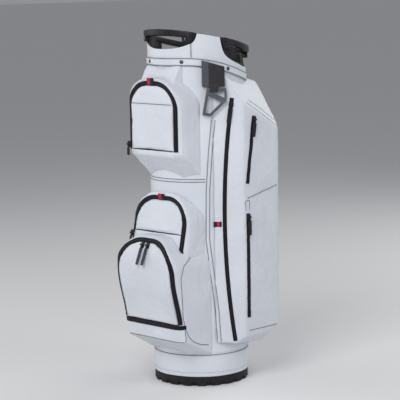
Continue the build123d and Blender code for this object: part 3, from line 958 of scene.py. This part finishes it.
ribbonLoop("upper_ribbon_loop", "upper_ribbon", (0, -161.2, 772), (1, 0, 0), (0, -1, 0), 22, 16)
ribbonLoop("middle_ribbon_loop", "middle_ribbon", (0, -130.6, 482), (1, 0, 0), (0, -1, 0), 22, 14)
ribbonLoop("side_ribbon_loop", "side_ribbon", (115.0, -50.0, 413), (1, 1, 0), (1, -1, 0), 20, 13, 3.2, 0.15)

holsterLook = {"voxel": 1.1, "rounds": 5, "strip": 29.0, "stripLow": 757.0}
hookLook = {"voxel": 0.9, "rounds": 5}
holster = softened("holster", "holster_leather", "holster", holsterLook["voxel"], holsterLook["rounds"],
                   (blackLeather, foldedLeather))
for face in holster.data.polygons:
    # The folded strip down the front edge of the outer face.
    across = (face.center / mm).dot(Vector((1, 1, 0)).normalized())
    outside = face.normal.dot(Vector((1, -1, 0))) > 0.2
    if across < holsterLook["strip"] and outside and face.center.z > holsterLook["stripLow"] * mm:
        face.material_index = 1
smoothShade(holster, 50)
softened("towel_hook", "towel_hook_moulded", "towel_hook", hookLook["voxel"], hookLook["rounds"],
         (hookPlastic,))
print("holster done")


strap = {"voxel": 3.4, "rounds": 6, "pressure": 5.0, "cap": 3.5, "soft": 0.8, "size": 40, "webVoxel": 1.3,
         "webRounds": 2}
pad = softened("strap_pad", "strap_pad_soft", "bag", strap["voxel"], strap["rounds"], (whiteLeather,))
inflate(pad, strap["cap"], strap["pressure"])
crumple(pad, strap["soft"], strap["size"], 31)
smoothShade(pad, 60)
webbing = copyNode("strap_webbing", "strap_webbing_woven")
softSkin(webbing, strap["webVoxel"], strap["webRounds"])
paint(webbing, makeWoven("blackWebbing", (0.02, 0.02, 0.022), (0.06, 0.06, 0.065), 330.0))
finishPiece(webbing, "bag", ("strap_webbing",))
padTree = skinTree(pad)
for index, x in enumerate((-24, 24)):
    path = [(x, 400, 350), (x, 400, 610)]
    seamLine("strap_pad_seam_" + str(index), [padTree], path, (0, -1, 0), rows=(0.0,))
print("strap done")


floorMaterial, _ = newMaterial("paleFloor", (0.80, 0.80, 0.80), 0.7)
deselectAll()
bpy.ops.mesh.primitive_plane_add(size=90, location=(0, 0, -0.0005))
floor = bpy.context.object
paint(floor, floorMaterial)
floor.name = "studio_floor"
sky = {"colour": (0.92, 0.94, 1.0, 1), "strength": 0.3}
world = bpy.data.worlds.new("studio")
bpy.context.scene.world = world
world.use_nodes = True
background = world.node_tree.nodes["Background"]
background.inputs["Color"].default_value = sky["colour"]
background.inputs["Strength"].default_value = sky["strength"]
# Place in metres, power and size of each lamp.
studio = {
    "key": ((1.2, -2.6, 2.3), 64.0, 1.8),
    "fill": ((-2.6, -1.6, 1.4), 24.0, 2.0),
    "side": ((2.8, 0.8, 1.5), 17.0, 1.6),
    "back": ((0.2, 2.8, 2.0), 30.0, 2.0),
}
lampAim = Vector((0, 0, 0.45))
for name, (place, power, size) in studio.items():
    lamp = bpy.data.lights.new(name, "AREA")
    lamp.energy = power
    lamp.size = size
    lampObject = bpy.data.objects.new(name, lamp)
    bpy.context.scene.collection.objects.link(lampObject)
    lampObject.location = place
    lampObject.rotation_euler = (lampAim - Vector(place)).to_track_quat("-Z", "Y").to_euler()

shot = {"azimuth": 45.0, "elevation": 7.936, "distance": 4.238, "lens": 148.9, "roll": -0.963,
        "shiftX": 0.003, "shiftY": 0.0085}
azimuth, elevation = math.radians(shot["azimuth"]), math.radians(shot["elevation"])
aim = Vector((0, 0, 0.45))
outward = Vector((math.sin(azimuth) * math.cos(elevation), -math.cos(azimuth) * math.cos(elevation),
                  math.sin(elevation)))
cameraData = bpy.data.cameras.new("mainCamera")
camera = bpy.data.objects.new("mainCamera", cameraData)
bpy.context.scene.collection.objects.link(camera)
roll = Matrix.Rotation(math.radians(shot["roll"]), 4, "Z")
turned = (-outward).to_track_quat("-Z", "Y").to_matrix().to_4x4() @ roll
camera.matrix_world = Matrix.Translation(aim + outward * shot["distance"]) @ turned
cameraData.lens = shot["lens"]
cameraData.sensor_width = 36
cameraData.shift_x = shot["shiftX"]
cameraData.shift_y = shot["shiftY"]
bpy.context.scene.camera = camera
bpy.context.scene.view_settings.view_transform = "Standard"
print("studio done")
